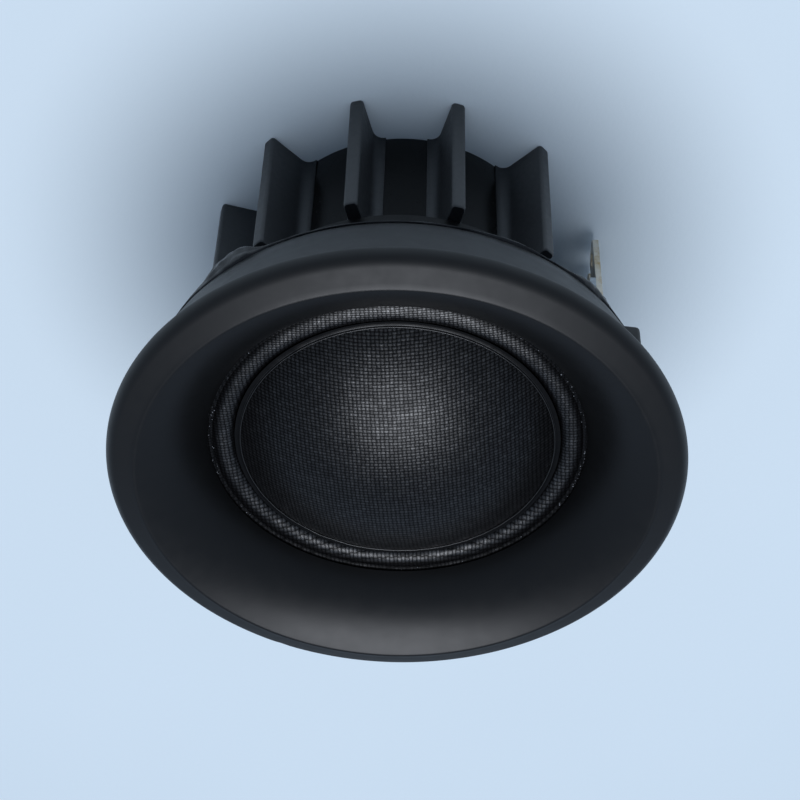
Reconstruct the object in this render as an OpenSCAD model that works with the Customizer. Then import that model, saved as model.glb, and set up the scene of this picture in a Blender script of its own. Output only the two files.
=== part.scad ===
// Car tweeter: fabric dome in a flared waveguide, neodymium motor and a finned heat sink.
// Millimetres. +Z is the way the tweeter fires, and z = 0 is the rear plane of the heat sink.
// Places round the axis are angles from -Y towards -X.

/* [Waveguide] */
// Outer diameter of the rim
rim_d = 45.3; // [45:0.1:60]
// Radial width of the lip, from its crown to the rim
lip_w = 2.35; // [1.6:0.05:3]
// Slope of the lip from its crown outwards, in degrees
lip_slope = 22; // [10:1:30]
// Radius that turns the lip over the rim
lip_r = 1.3; // [0.6:0.1:1.6]
// Radius on the crown of the lip
ridge_r = 0.4; // [0.2:0.1:0.6]
// Radius under the edge of the rim
edge_r = 0.5; // [0.2:0.05:0.9]
// Depth of the flare, from the crown to the throat
flare_h = 4.9; // [4:0.05:8]
// How far the flare bows up from a straight cone, in degrees each way
flare_bow = 20; // [5:1:25]
// How much smaller the radius of the skirt is at its rear edge than at the rim
skirt_taper = 2.55; // [1.5:0.05:2.6]
// Wall of the skirt round the chassis
skirt_wall = 0.75; // [0.5:0.05:0.8]
// How deep the chassis sits in the skirt
seat_depth = 1; // [0.4:0.1:1]
// Clear space between the throat and the roll of the surround
throat_gap = 0.15; // [0.05:0.05:0.5]
// Place of the key lug on the skirt, in degrees
lug_angle = 54; // [0:1:359]
// Width of the key lug
lug_w = 2.2; // [1.4:0.1:3]
// How far the key lug stands out from the rear radius of the skirt
lug_out = 1.8; // [0.5:0.1:2.2]
// Radius on the outer corners of the key lug
lug_r = 0.4; // [0.2:0.1:0.6]

/* [Dome and coil] */
// Diameter of the dome at its foot
dome_d = 25.4; // [20:0.1:26]
// Height of the dome
dome_h = 5.3; // [3:0.1:7]
// Thickness of the coated dome fabric
dome_t = 0.3; // [0.2:0.05:0.4]
// Width of the roll of the surround
roll_w = 1.9; // [1.6:0.1:3]
// Height of the roll above the fabric's flat edge
roll_h = 0.45; // [0.35:0.05:0.8]
// Thickness of the surround
surround_t = 0.25; // [0.15:0.05:0.3]
// Width and height of the adhesive bead at the foot of the dome
bead_w = 0.25; // [0.15:0.05:0.4]
// Thickness of the coil former
former_t = 0.15; // [0.1:0.05:0.2]
// Thickness of the winding
winding_t = 0.3; // [0.2:0.05:0.5]
// Height of the winding
winding_h = 2; // [1.4:0.1:2.2]
// Height of the surround ring, from the motor to the fabric
ring_h = 1.7; // [1.6:0.1:2.6]
// Width of the surround ring
ring_w = 1.7; // [1.5:0.1:2]
// Thickness of the gasket in front of the surround
gasket_t = 0.5; // [0.4:0.1:0.8]
// Travel of the dome each way
travel = 0.35; // [0.1:0.05:0.4]

/* [Motor] */
// Clear space on each side of the coil in the gap
gap_clear = 0.3; // [0.2:0.05:0.4]
// Thickness of the copper cap on the pole plate
cap_t = 0.2; // [0.1:0.05:0.3]
// Thickness of the pole plate
plate_t = 2.3; // [2.2:0.1:3]
// Thickness of the magnet
magnet_t = 3.3; // [2.5:0.1:5]
// How much smaller the radius of the magnet is than that of the pole plate
magnet_step = 0.45; // [0.2:0.05:1]
// Wall of the pot
pot_wall = 2; // [1.5:0.1:2.2]
// Base of the pot
pot_base = 2.5; // [2.2:0.1:4]
// Thickness of the felt pad under the dome
felt_t = 1.6; // [0.8:0.1:1.8]
// Thickness of the chassis plate
chassis_t = 1.6; // [1.4:0.1:2.2]
// Wall of the chassis collar round the pot
collar_wall = 0.9; // [0.6:0.1:1.2]
// Depth of the chassis collar behind the plate
collar_h = 2; // [1:0.1:3]

/* [Heat sink] */
// Length of the core and the fins
sink_len = 13.9; // [10:0.1:24]
// Diameter of the core
core_d = 24.6; // [18:0.1:26]
// How far each fin stands out from the core
fin_reach = 4.2; // [3:0.1:5.2]
// Thickness of a fin
fin_t = 1.15; // [0.8:0.05:1.6]
// Number of places for fins, of which the one at the terminal board stays empty
fin_places = 12; // [12:6:24]
// Radius at the root of a fin
fin_root_r = 0.9; // [0.2:0.1:1.2]
// Radius on the tip of a fin
fin_tip_r = 0.3; // [0.1:0.05:0.38]
// Thickness of the thermal pad between the pot and the heat sink
pad_t = 0.3; // [0.2:0.1:0.8]

/* [Terminals] */
// Width of the terminal board
board_w = 6.6; // [6.2:0.1:7]
// Thickness of the terminal board
board_t = 0.5; // [0.4:0.05:0.6]
// How far the outer face of the board lies inside the tips of the fins
board_inset = 0.1; // [0.05:0.05:0.2]
// Height of the free end of the board above the rear plane
board_z = 6.8; // [5:0.1:7.2]
// Width of a push-on tab
tab_w = 2.8; // [2:0.1:2.8]
// Thickness of a push-on tab
tab_t = 0.5; // [0.4:0.05:0.8]
// Height of the tip of a tab above the rear plane
tab_z = 1; // [0.5:0.1:2]
// Length of a tab
tab_len = 10.8; // [9:0.1:12]
// Distance between the middles of the two tabs
tab_gap = 3.8; // [3.2:0.1:3.8]
// Diameter of the hole near the tip of a tab
tab_hole = 1.2; // [0.8:0.1:1.4]
// Height of the solder joints of the lead wires
solder_z = 8.5; // [8:0.1:9]
// Diameter of a lead wire
lead_d = 0.3; // [0.2:0.05:0.4]
// Diameter of the rivets that hold the tabs
rivet_d = 0.9; // [0.6:0.1:1]

/* [Fasteners] */
// Diameter of the three body screws
body_screw_d = 1.4; // [1.2:0.1:1.6]
// Length of a body screw under its head
body_screw_len = 3.4; // [2.4:0.1:4]
// Diameter of the head of a body screw
body_head_d = 2.2; // [1.8:0.1:2.3]
// Diameter of the centre screw
centre_screw_d = 3; // [2.5:0.5:4]

/* [Fits] */
// Radial clearance between pieces that are put together by hand
slip = 0.05; // [0.02:0.01:0.1]
// Clearance around the centre screw in the heat sink
hole_clear = 0.1; // [0.05:0.05:0.25]
// Clearance around a lead wire
lead_clear = 0.15; // [0.05:0.05:0.15]

/* [Hidden] */
$fn = 96;
cut = 0.1;

// Radii, from the coil outwards.
dome_r = dome_d / 2;
former_step = 0.25;
former_ri = dome_r - former_step;
former_ro = former_ri + former_t;
winding_ro = former_ro + winding_t;
cap_ro = former_ri - gap_clear;
plate_r = cap_ro - cap_t;
magnet_r = plate_r - magnet_step;
pot_ri = winding_ro + gap_clear;
pot_ro = pot_ri + pot_wall;
bead_clear = 0.03;
roll_ri = dome_r + bead_w + bead_clear;
roll_r = (roll_w * roll_w / 4 + roll_h * roll_h) / (2 * roll_h);
throat_r = roll_ri + roll_w + throat_gap;
ring_ri = pot_ro;
ring_ro = ring_ri + ring_w;
pocket_r = ring_ro + slip;
gasket_step = 0.4;
gasket_ri = throat_r + gasket_step;
rim_r = rim_d / 2;
crown_r = rim_r - lip_w;
skirt_r = rim_r - skirt_taper;
seat_r = skirt_r - skirt_wall;
chassis_r = seat_r - slip;
screw_pcr = (pocket_r + chassis_r) / 2;
core_r = core_d / 2;
fin_r = core_r + fin_reach;
lead_r = lead_d / 2;
lead_hole_r = lead_r + lead_clear;
lead_pot_x = pot_ro + 2 * slip + lead_hole_r;
board_x = max(fin_r - board_inset - board_t, lead_pot_x + lead_hole_r);
tab_x = board_x + board_t;
lead_x = board_x - lead_hole_r;

// Heights, from the rear plane forwards.
pad_z = sink_len;
pot_z = pad_z + pad_t;
magnet_z = pot_z + pot_base;
plate_z = magnet_z + magnet_t;
motor_z = plate_z + plate_t;
chassis_z = motor_z - chassis_t;
skirt_z = motor_z - seat_depth;
fabric_z = motor_z + ring_h;
gasket_z = fabric_z + surround_t;
throat_z = gasket_z + throat_gap;
pocket_z = gasket_z + gasket_t;
crown_z = throat_z + flare_h;
lip_run = rim_r - lip_r * (1 - sin(lip_slope)) - crown_r - ridge_r * sin(lip_slope);
rim_z = crown_z - ridge_r * (1 - cos(lip_slope)) - lip_run * tan(lip_slope) - lip_r * cos(lip_slope);
rivet_z = tab_z + tab_len - rivet_d;
winding_z = plate_z + (plate_t - winding_h) / 2;
lead_z = motor_z + travel + lead_d;
former_end = 0.15;
lug_len = 2.7;
board_end_wall = 0.4;

// Round the axis.
fin_step = 360 / fin_places;
board_angle = 90;
body_screw_angles = [60, 180, 300];
core_span = 84;

// Screw heads.
body_head_h = 0.7;
centre_head_h = 1.3;
centre_head_r = centre_screw_d / 2 + centre_head_h;
centre_head_z = 0.15;
centre_shank_z = centre_head_z + centre_head_h;
centre_hex_r = 1.15;
centre_hex_depth = 1.2;

function arc(cx, cz, rx, rz, from, to, steps) =
    [for (i = [0:steps]) let (a = from + (to - from) * i / steps) [cx + rx * cos(a), cz + rz * sin(a)]];

// Arc from p to q that bows to the left of the straight way between them.
function bowed(p, q, bow, steps) =
    let (
        way = atan2(q[1] - p[1], q[0] - p[0]),
        r = norm(q - p) / (2 * sin(bow)),
        centre = q - r * [cos(way + 90 - bow), sin(way + 90 - bow)]
    )
    arc(centre[0], centre[1], r, r, way + 90 + bow, way + 90 - bow, steps);

function without_first(points) = [for (i = [1:len(points) - 1]) points[i]];

// Turns what is drawn towards -Y to a place round the axis.
module at_angle(phi) rotate([0, 0, -phi]) children();

// Turns an outline about the axis over part of a circle, starting at the given place.
module sweep(from, span) rotate([0, 0, 270 - from - span]) rotate_extrude(angle = span) children();

// A ring with square edges.
module ring(ri, ro, z, h) {
    translate([0, 0, z])
        difference() {
            cylinder(r = ro, h = h);
            translate([0, 0, -cut]) cylinder(r = ri, h = h + 2 * cut);
        }
}

// One for each of the two poles, side by side.
module pair() for (side = [-1, 1]) translate([0, side * tab_gap / 2, 0]) children();

// What is drawn along +Z starts at the inner face of the board and points away from the axis.
module on_board(z) translate([-board_x, 0, z]) rotate([0, -90, 0]) children();

// Room for one lead wire, open towards the axis.
module lead_notch(z, h) {
    width = 2 * lead_hole_r;
    translate([-(lead_pot_x + lead_hole_r), -lead_hole_r, z]) cube([width + 1, width, h]);
}

module waveguide_profile() {
    bevel = 0.15;
    throat = [throat_r, throat_z];
    crown_slope = atan2(flare_h, crown_r - throat_r) - flare_bow;
    ridge = arc(crown_r, crown_z - ridge_r, ridge_r, ridge_r, 90 + crown_slope, 90 - lip_slope, 6);
    polygon(concat(
        bowed(throat, ridge[0], flare_bow, 14),
        without_first(ridge),
        arc(rim_r - lip_r, rim_z, lip_r, lip_r, 90 - lip_slope, 0, 8),
        arc(rim_r - edge_r, rim_z, edge_r, edge_r, -15, -75, 4),
        [
            [skirt_r, skirt_z + bevel], [skirt_r - bevel, skirt_z], [seat_r, skirt_z], [seat_r, motor_z],
            [pocket_r, motor_z], [pocket_r, pocket_z], [gasket_ri, pocket_z], [gasket_ri, throat_z]
        ]
    ));
}

// Hollows between the screw bosses, open towards the chassis.
module waveguide_cores() {
    inner_wall = 0.7;
    outer_wall = 0.4;
    depth = 3.3;
    for (phi = body_screw_angles)
        sweep(phi + 60 - core_span / 2, core_span)
            translate([pocket_r + inner_wall, motor_z - cut])
                square([seat_r - pocket_r - inner_wall - outer_wall, depth + cut]);
}

module key_lug() {
    reach = skirt_r + lug_out;
    into_rim = 0.2;
    into_skirt = 0.4;
    side_x = lug_w / 2 - lug_r;
    at_angle(lug_angle)
        translate([0, 0, rim_z - edge_r - lug_len])
            linear_extrude(lug_len + into_rim)
                union() {
                    translate([-lug_w / 2, -(reach - lug_r)]) square([lug_w, lug_out - lug_r + into_skirt]);
                    translate([-side_x, -reach]) square([2 * side_x, lug_r + cut]);
                    for (side = [-1, 1])
                        translate([side * side_x, -(reach - lug_r)]) circle(r = lug_r, $fn = 32);
                }
}

module waveguide() {
    color("#2a2b2d")
        difference() {
            union() {
                rotate_extrude() waveguide_profile();
                key_lug();
            }
            waveguide_cores();
            for (phi = body_screw_angles)
                at_angle(phi)
                    translate([0, -screw_pcr, motor_z - cut])
                        cylinder(d = body_screw_d, h = body_screw_len + cut, $fn = 32);
        }
}

module gasket() {
    color("#3c3c3a") ring(gasket_ri, ring_ro, gasket_z, gasket_t);
}

module surround() {
    roll_out = roll_ri + roll_w;
    color("#26272a")
        rotate_extrude()
            union() {
                intersection() {
                    translate([(roll_ri + roll_out) / 2, fabric_z + roll_h - roll_r])
                        difference() {
                            circle(r = roll_r, $fn = 64);
                            circle(r = roll_r - surround_t, $fn = 64);
                        }
                    translate([roll_ri, fabric_z]) square([roll_w, roll_r]);
                }
                translate([roll_out - surround_t, fabric_z])
                    square([ring_ro - roll_out + surround_t, surround_t]);
            }
}

module surround_ring() {
    color("#4a4a48")
        difference() {
            ring(ring_ri, ring_ro, motor_z, ring_h);
            pair() lead_notch(motor_z - cut, lead_z - motor_z + lead_hole_r + cut);
        }
}

// Outline of the board, with a gap all round it.
module board_outline(gap) {
    translate([-(tab_x + gap), -(board_w / 2 + gap)])
        square([board_t + 2 * gap, board_w + 2 * gap]);
}

module chassis() {
    post = 1;
    post_h = 2;
    post_step = 0.3;
    screw_clear = 0.1;
    bore_r = pot_ro + slip;
    pocket_h = chassis_t - board_end_wall;
    post_y = board_w / 2 + slip + post / 2;
    color("#303133")
        difference() {
            union() {
                ring(bore_r, chassis_r, chassis_z, chassis_t);
                difference() {
                    ring(bore_r, pot_ro + collar_wall, chassis_z - collar_h, collar_h + cut);
                    translate([-2 * chassis_r, -board_w / 2 - slip, chassis_z - collar_h - cut])
                        cube([2 * chassis_r, board_w + 2 * slip, collar_h + cut]);
                }
                translate([0, 0, chassis_z - post_h])
                    linear_extrude(post_h + cut)
                        for (side = [-1, 1])
                            translate([-(tab_x + post_step), side * post_y - post / 2])
                                square([board_t + post_step, post]);
            }
            translate([0, 0, chassis_z - cut]) linear_extrude(pocket_h + cut) board_outline(slip);
            pair() lead_notch(chassis_z - cut, chassis_t + 2 * cut);
            for (phi = body_screw_angles)
                at_angle(phi)
                    translate([0, -screw_pcr, chassis_z - cut]) {
                        cylinder(d = body_screw_d + screw_clear, h = chassis_t + 2 * cut, $fn = 32);
                        cylinder(d = body_head_d + screw_clear, h = body_head_h + cut, $fn = 48);
                    }
        }
}

module body_screws() {
    slot_w = 0.3;
    slot_len = 1.2;
    slot_h = 0.35;
    end_clear = 0.3;
    color("#55565a")
        for (phi = body_screw_angles)
            at_angle(phi)
                translate([0, -screw_pcr, chassis_z])
                    difference() {
                        union() {
                            cylinder(d = body_head_d, h = body_head_h, $fn = 48);
                            cylinder(d = body_screw_d, h = chassis_t + body_screw_len - end_clear, $fn = 32);
                        }
                        for (turn = [0, 90])
                            rotate([0, 0, turn])
                                translate([-slot_len / 2, -slot_w / 2, -cut])
                                    cube([slot_len, slot_w, slot_h + cut]);
                    }
}

// Bead in the corner behind the skirt, with three places where it was laid on thicker.
module sealant_bead() {
    base_r = 0.6;
    thick_r = 0.95;
    over_skirt = 0.35;
    middle_r = chassis_r + 0.1;
    swells = [[-60, 26], [15, 28], [62, 12]];
    color("#141416")
        intersection() {
            ring(chassis_r, skirt_r + over_skirt, chassis_z, skirt_z - chassis_z);
            union() {
                rotate_extrude() translate([middle_r, skirt_z]) circle(r = base_r, $fn = 48);
                for (swell = swells)
                    sweep(swell[0], swell[1]) translate([middle_r, skirt_z]) circle(r = thick_r, $fn = 48);
            }
        }
}

module dome() {
    ball_r = (dome_r * dome_r + dome_h * dome_h) / (2 * dome_h);
    color("#1f2023")
        translate([0, 0, fabric_z])
            difference() {
                intersection() {
                    translate([0, 0, dome_h - ball_r]) sphere(r = ball_r, $fn = 180);
                    cylinder(r = dome_r + 1, h = dome_h + 1);
                }
                translate([0, 0, dome_h - ball_r]) sphere(r = ball_r - dome_t, $fn = 180);
            }
}

module joint_bead() {
    foot = 0.05;
    slope = 0.7;
    color("#3a3b3f")
        rotate_extrude()
            polygon([
                [dome_r, fabric_z - foot], [dome_r + bead_w, fabric_z - foot],
                [dome_r + slope * bead_w, fabric_z + slope * bead_w], [dome_r, fabric_z + bead_w]
            ]);
}

module coil_former() {
    rear_z = winding_z - former_end;
    color("#b9a06a") ring(former_ri, former_ro, rear_z, fabric_z - rear_z);
}

module voice_coil() {
    color("#b06a3a") ring(former_ro, winding_ro, winding_z, winding_h);
}

// Straight stretches of lead wire, away from the axis and along it.
module wire_out(from_x, to_x, z)
    translate([-to_x, 0, z]) rotate([0, 90, 0]) cylinder(r = lead_r, h = to_x - from_x, $fn = 24);

module wire_back(x, from_z, to_z)
    translate([-x, 0, from_z]) cylinder(r = lead_r, h = to_z - from_z, $fn = 24);

// Two wires: out under the surround, back along the pot, out to the board and into the tabs.
module lead_wires() {
    start_r = former_ro + slip;
    start_x = sqrt(start_r * start_r - tab_gap * tab_gap / 4);
    end_x = tab_x + tab_t + lead_r;
    step_z = chassis_z - 2 * lead_d;
    color("#c07a45")
        pair() {
            wire_out(start_x, lead_pot_x, lead_z);
            wire_back(lead_pot_x, step_z, lead_z);
            if (lead_x - lead_pot_x > 0.01) wire_out(lead_pot_x, lead_x, step_z);
            wire_back(lead_x, solder_z, step_z);
            wire_out(lead_x, end_x, solder_z);
            for (bend = [[lead_pot_x, lead_z], [lead_x, step_z], [lead_x, solder_z]])
                translate([-bend[0], 0, bend[1]]) sphere(r = lead_r, $fn = 24);
        }
}

module damping_pad() {
    edge_step = 1.45;
    color("#8d8b85") translate([0, 0, motor_z]) cylinder(r = plate_r - edge_step, h = felt_t);
}

module shorting_cap() {
    flange_w = 1.25;
    color("#b56b3c") {
        ring(plate_r, cap_ro, plate_z, plate_t);
        ring(plate_r - flange_w, cap_ro, motor_z, cap_t);
    }
}

module pole_plate() {
    color("#9a9ca0") translate([0, 0, plate_z]) cylinder(r = plate_r, h = plate_t);
}

module magnet() {
    color("#c3c5c8") translate([0, 0, magnet_z]) cylinder(r = magnet_r, h = magnet_t);
}

module pot() {
    color("#232427")
        difference() {
            translate([0, 0, pot_z]) cylinder(r = pot_ro, h = motor_z - pot_z);
            translate([0, 0, magnet_z]) cylinder(r = pot_ri, h = motor_z - magnet_z + cut);
            translate([0, 0, pot_z - cut]) cylinder(d = centre_screw_d, h = pot_base + 2 * cut, $fn = 48);
        }
}

module ferrofluid() {
    film_clear = 0.1;
    color("#2b1a10") ring(winding_ro + film_clear, pot_ri, winding_z, winding_h);
}

module thermal_pad() {
    hole_step = 0.3;
    edge_step = 0.4;
    color("#9fb0c4") ring(centre_screw_d / 2 + hole_step, core_r - edge_step, pad_z, pad_t);
}

// One fin, seen along the axis, standing towards -Y.
module fin_outline() {
    into_core = 0.5;
    tip_x = fin_t / 2 - fin_tip_r;
    root_x = fin_t / 2 + fin_root_r;
    translate([-fin_t / 2, -(fin_r - fin_tip_r)]) square([fin_t, fin_reach - fin_tip_r + into_core]);
    translate([-tip_x, -fin_r]) square([2 * tip_x, fin_tip_r + cut]);
    for (side = [-1, 1]) {
        translate([side * tip_x, -(fin_r - fin_tip_r)]) circle(r = fin_tip_r, $fn = 32);
        difference() {
            translate([side * (root_x - fin_root_r / 2) - fin_root_r / 2, -(core_r + fin_root_r)])
                square([fin_root_r, fin_root_r + into_core]);
            translate([side * root_x, -(core_r + fin_root_r)]) circle(r = fin_root_r, $fn = 32);
        }
    }
}

module heat_sink() {
    empty_angle = board_angle - fin_step / 2;
    head_bore_r = centre_head_r + slip;
    cone_h = centre_shank_z - centre_head_z;
    color("#1c1d1f")
        difference() {
            union() {
                cylinder(r = core_r, h = sink_len);
                linear_extrude(sink_len)
                    for (i = [0:fin_places - 1])
                        let (phi = (i + 0.5) * fin_step)
                            if (abs(phi - empty_angle) > cut) at_angle(phi) fin_outline();
            }
            translate([0, 0, -cut])
                cylinder(d = centre_screw_d + 2 * hole_clear, h = sink_len + 2 * cut, $fn = 48);
            translate([0, 0, -cut]) cylinder(r = head_bore_r, h = centre_head_z + cut, $fn = 64);
            translate([0, 0, centre_head_z])
                cylinder(r1 = head_bore_r, r2 = centre_screw_d / 2 + slip, h = cone_h, $fn = 64);
        }
}

module centre_screw() {
    end_clear = 0.2;
    shank_end = magnet_z - end_clear;
    cone_h = centre_shank_z - centre_head_z;
    color("#6c6e72")
        difference() {
            union() {
                translate([0, 0, centre_head_z])
                    cylinder(r1 = centre_head_r, r2 = centre_screw_d / 2, h = cone_h, $fn = 64);
                translate([0, 0, centre_shank_z])
                    cylinder(d = centre_screw_d, h = shank_end - centre_shank_z, $fn = 48);
            }
            translate([0, 0, centre_head_z - cut])
                cylinder(r = centre_hex_r, h = centre_hex_depth + cut, $fn = 6);
        }
}

module terminal_board() {
    end_clear = 0.05;
    board_end = chassis_z + chassis_t - board_end_wall - end_clear;
    hole_h = board_t + 2 * cut;
    color("#d8d5ca")
        difference() {
            translate([0, 0, board_z]) linear_extrude(board_end - board_z) board_outline(0);
            pair() {
                on_board(solder_z) translate([0, 0, -cut]) cylinder(r = lead_hole_r, h = hole_h, $fn = 32);
                on_board(rivet_z) translate([0, 0, -cut]) cylinder(d = rivet_d, h = hole_h, $fn = 32);
            }
        }
}

// Outline of a tab, lying along +X from its tip, with a tapered tip.
module tab_outline() {
    taper = 0.7;
    polygon([
        [0, -(tab_w / 2 - taper)], [taper, -tab_w / 2], [tab_len, -tab_w / 2],
        [tab_len, tab_w / 2], [taper, tab_w / 2], [0, tab_w / 2 - taper]
    ]);
}

module terminal_tabs() {
    hole_z = tab_z + 1.8;
    hole_h = tab_t + 2 * cut;
    start = board_t - cut;
    color("#c2b48c")
        pair()
            difference() {
                translate([-tab_x, 0, tab_z]) rotate([0, -90, 0]) linear_extrude(tab_t) tab_outline();
                on_board(hole_z) translate([0, 0, start]) cylinder(d = tab_hole, h = hole_h, $fn = 48);
                on_board(solder_z) translate([0, 0, start]) cylinder(r = lead_hole_r, h = hole_h, $fn = 32);
                on_board(rivet_z) translate([0, 0, start]) cylinder(d = rivet_d, h = hole_h, $fn = 32);
            }
}

// The inner end of each rivet is set flat, so that the lead wire runs past it.
module tab_rivets() {
    head_r = rivet_d / 2 + 0.3;
    head_t = 0.25;
    set_t = lead_clear - slip;
    grip = board_t + tab_t;
    color("#b9ad8a")
        pair()
            on_board(rivet_z) {
                translate([0, 0, -set_t]) cylinder(r = head_r, h = set_t, $fn = 32);
                cylinder(d = rivet_d, h = grip, $fn = 32);
                translate([0, 0, grip]) cylinder(r = head_r, h = head_t, $fn = 32);
            }
}

// Solder fills the hole round each lead wire, with a flat foot inside and a round blob outside.
module solder_joints() {
    foot_r = 0.55;
    foot_t = 0.12;
    blob_r = 0.8;
    blob_sink = 0.3;
    grip = board_t + tab_t;
    color("#8f9193")
        pair()
            on_board(solder_z)
                difference() {
                    union() {
                        translate([0, 0, -foot_t]) cylinder(r = foot_r, h = foot_t, $fn = 32);
                        cylinder(r = lead_hole_r, h = grip, $fn = 32);
                        intersection() {
                            translate([0, 0, grip - blob_sink]) sphere(r = blob_r, $fn = 48);
                            translate([0, 0, grip]) cylinder(r = blob_r + cut, h = blob_r);
                        }
                    }
                    translate([0, 0, -1]) cylinder(r = lead_r, h = 1 + grip + lead_r, $fn = 24);
                }
}

waveguide();
gasket();
surround();
surround_ring();
chassis();
body_screws();
sealant_bead();
dome();
joint_bead();
coil_former();
voice_coil();
lead_wires();
damping_pad();
shorting_cap();
pole_plate();
magnet();
pot();
ferrofluid();
thermal_pad();
heat_sink();
centre_screw();
terminal_board();
terminal_tabs();
tab_rivets();
solder_joints();
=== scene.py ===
"""Looks of the car tweeter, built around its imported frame. Metres, +Z the way the tweeter fires."""
import math
import random

import bmesh
import bpy
from mathutils import Matrix, Vector, noise


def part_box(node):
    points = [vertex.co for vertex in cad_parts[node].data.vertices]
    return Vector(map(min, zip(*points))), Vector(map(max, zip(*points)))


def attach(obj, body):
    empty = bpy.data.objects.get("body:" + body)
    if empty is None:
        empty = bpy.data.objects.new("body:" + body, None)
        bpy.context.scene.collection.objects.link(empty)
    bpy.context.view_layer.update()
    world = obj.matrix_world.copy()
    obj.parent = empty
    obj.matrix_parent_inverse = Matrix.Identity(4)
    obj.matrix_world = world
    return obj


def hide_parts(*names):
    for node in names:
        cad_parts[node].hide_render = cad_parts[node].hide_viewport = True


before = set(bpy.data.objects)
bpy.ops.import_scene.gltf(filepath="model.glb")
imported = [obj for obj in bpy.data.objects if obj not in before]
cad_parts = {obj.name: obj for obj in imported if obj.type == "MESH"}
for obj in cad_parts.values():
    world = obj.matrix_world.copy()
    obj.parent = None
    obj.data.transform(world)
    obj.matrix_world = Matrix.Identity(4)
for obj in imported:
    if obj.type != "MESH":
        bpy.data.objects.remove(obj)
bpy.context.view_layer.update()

MM = 0.001

# ---------------------------------------------------------------- places that come from the frame

rim_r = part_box("waveguide")[1].x
crown_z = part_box("waveguide")[1].z
skirt_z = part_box("waveguide")[0].z
chassis_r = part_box("chassis")[1].x
motor_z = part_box("surround_ring")[0].z
ring_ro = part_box("surround_ring")[1].x
fabric_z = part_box("surround_ring")[1].z
gasket_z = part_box("gasket")[0].z
pocket_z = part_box("gasket")[1].z
roll_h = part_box("surround")[1].z - fabric_z
dome_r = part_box("dome")[1].x
dome_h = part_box("dome")[1].z - fabric_z
sink_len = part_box("heat_sink")[1].z

# Sizes that the boxes don't give, as the part has them. Slopes and places round the axis are in degrees.
crown_r = rim_r - 2.35 * MM
lip_slope = 22
lip_r = 1.3 * MM
ridge_r = 0.4 * MM
edge_r = 0.5 * MM
flare_bow = 20
skirt_r = rim_r - 2.55 * MM
seat_r = chassis_r + 0.05 * MM
chassis_z = motor_z - 1.6 * MM
cloth_t = 0.25 * MM
roll_w = 1.9 * MM
roll_ri = dome_r + 0.28 * MM
roll_mid = roll_ri + roll_w / 2
roll_r = (roll_w ** 2 / 4 + roll_h ** 2) / (2 * roll_h)
throat_r = roll_ri + roll_w + 0.15 * MM
throat_z = gasket_z + 0.15 * MM
pocket_r = ring_ro + 0.05 * MM
gasket_ri = throat_r + 0.4 * MM
core_r = 12.3 * MM
fin_reach = 4.2 * MM
fin_r = core_r + fin_reach
fin_t = 1.15 * MM
fin_places = 12
board_place = 2
lug_angle = 54

# The cloth: the spacing of its warp and weft, how far it is turned, and how the weft closes up towards -Y.
thread_pitch = (0.33 * MM, 0.31 * MM)
thread_turn = math.radians(5)
weft_drift = 0.0065


# ---------------------------------------------------------------- camera, light and floor

def camera():
    """The view from the front and above, held upside down so that the fins point up."""
    lift = math.radians(46.39)
    roll = math.radians(-1.72)
    distance = 148.2 * MM
    target = Vector((0, 0, crown_z - 1.2 * MM))
    aside, above = 0.098 * MM, 6.188 * MM
    back = Vector((0, -math.cos(lift), math.sin(lift)))
    right = Vector((-1, 0, 0))
    up = Vector((0, -math.sin(lift), -math.cos(lift)))
    place = target + back * distance + right * aside + up * above
    data = bpy.data.cameras.new("camera")
    data.sensor_width = 36
    data.lens = 85.5
    data.clip_start, data.clip_end = 0.01, 10
    cam = bpy.data.objects.new("camera", data)
    bpy.context.collection.objects.link(cam)
    turned_right = right * math.cos(roll) - up * math.sin(roll)
    turned_up = right * math.sin(roll) + up * math.cos(roll)
    basis = Matrix((turned_right, turned_up, back)).transposed()
    cam.matrix_world = Matrix.Translation(place) @ basis.to_4x4()
    bpy.context.scene.camera = cam


camera()


def linear(code):
    """An sRGB hex colour as linear light."""
    parts = [int(code[i:i + 2], 16) / 255 for i in (1, 3, 5)]
    return tuple(c / 12.92 if c <= 0.04045 else ((c + 0.055) / 1.055) ** 2.4 for c in parts) + (1,)


# Where a Mix node has its two colour inputs and its colour output.
mix_colour_in = (6, 7)
mix_colour_out = 2


def start_material(name):
    material = bpy.data.materials.new(name)
    material.use_nodes = True
    tree = material.node_tree
    return material, tree, tree.nodes["Principled BSDF"]


def add(tree, kind, links=None, **settings):
    """One node with its settings; links maps an input to another node's output socket or to a value."""
    node = tree.nodes.new(kind)
    for key, value in settings.items():
        setattr(node, key, value)
    for name, source in (links or {}).items():
        if isinstance(source, bpy.types.NodeSocket):
            tree.links.new(source, node.inputs[name])
        else:
            node.inputs[name].default_value = source
    return node


def calc(tree, operation, *values):
    """One Math node; each value is a number or another node's output."""
    return add(tree, "ShaderNodeMath", dict(enumerate(values)), operation=operation).outputs[0]


def object_place(tree):
    return add(tree, "ShaderNodeTexCoord").outputs["Object"]


def from_axis(tree, place, aside_mm=0):
    """Distance from the tweeter's axis, or from a line a little to the -Y side of it."""
    links = {0: place, 1: (1, 1, 0), 2: (0, aside_mm * MM, 0)}
    off = add(tree, "ShaderNodeVectorMath", links, operation="MULTIPLY_ADD")
    return add(tree, "ShaderNodeVectorMath", {0: off.outputs[0]}, operation="LENGTH").outputs["Value"]


def grain(tree, place, size_mm, detail=4, rough=0.6):
    """Cloudy noise whose largest grains are about size_mm across."""
    links = {"Vector": place, "Scale": 1 / (size_mm * MM), "Detail": detail, "Roughness": rough}
    return add(tree, "ShaderNodeTexNoise", links).outputs["Fac"]


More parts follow.
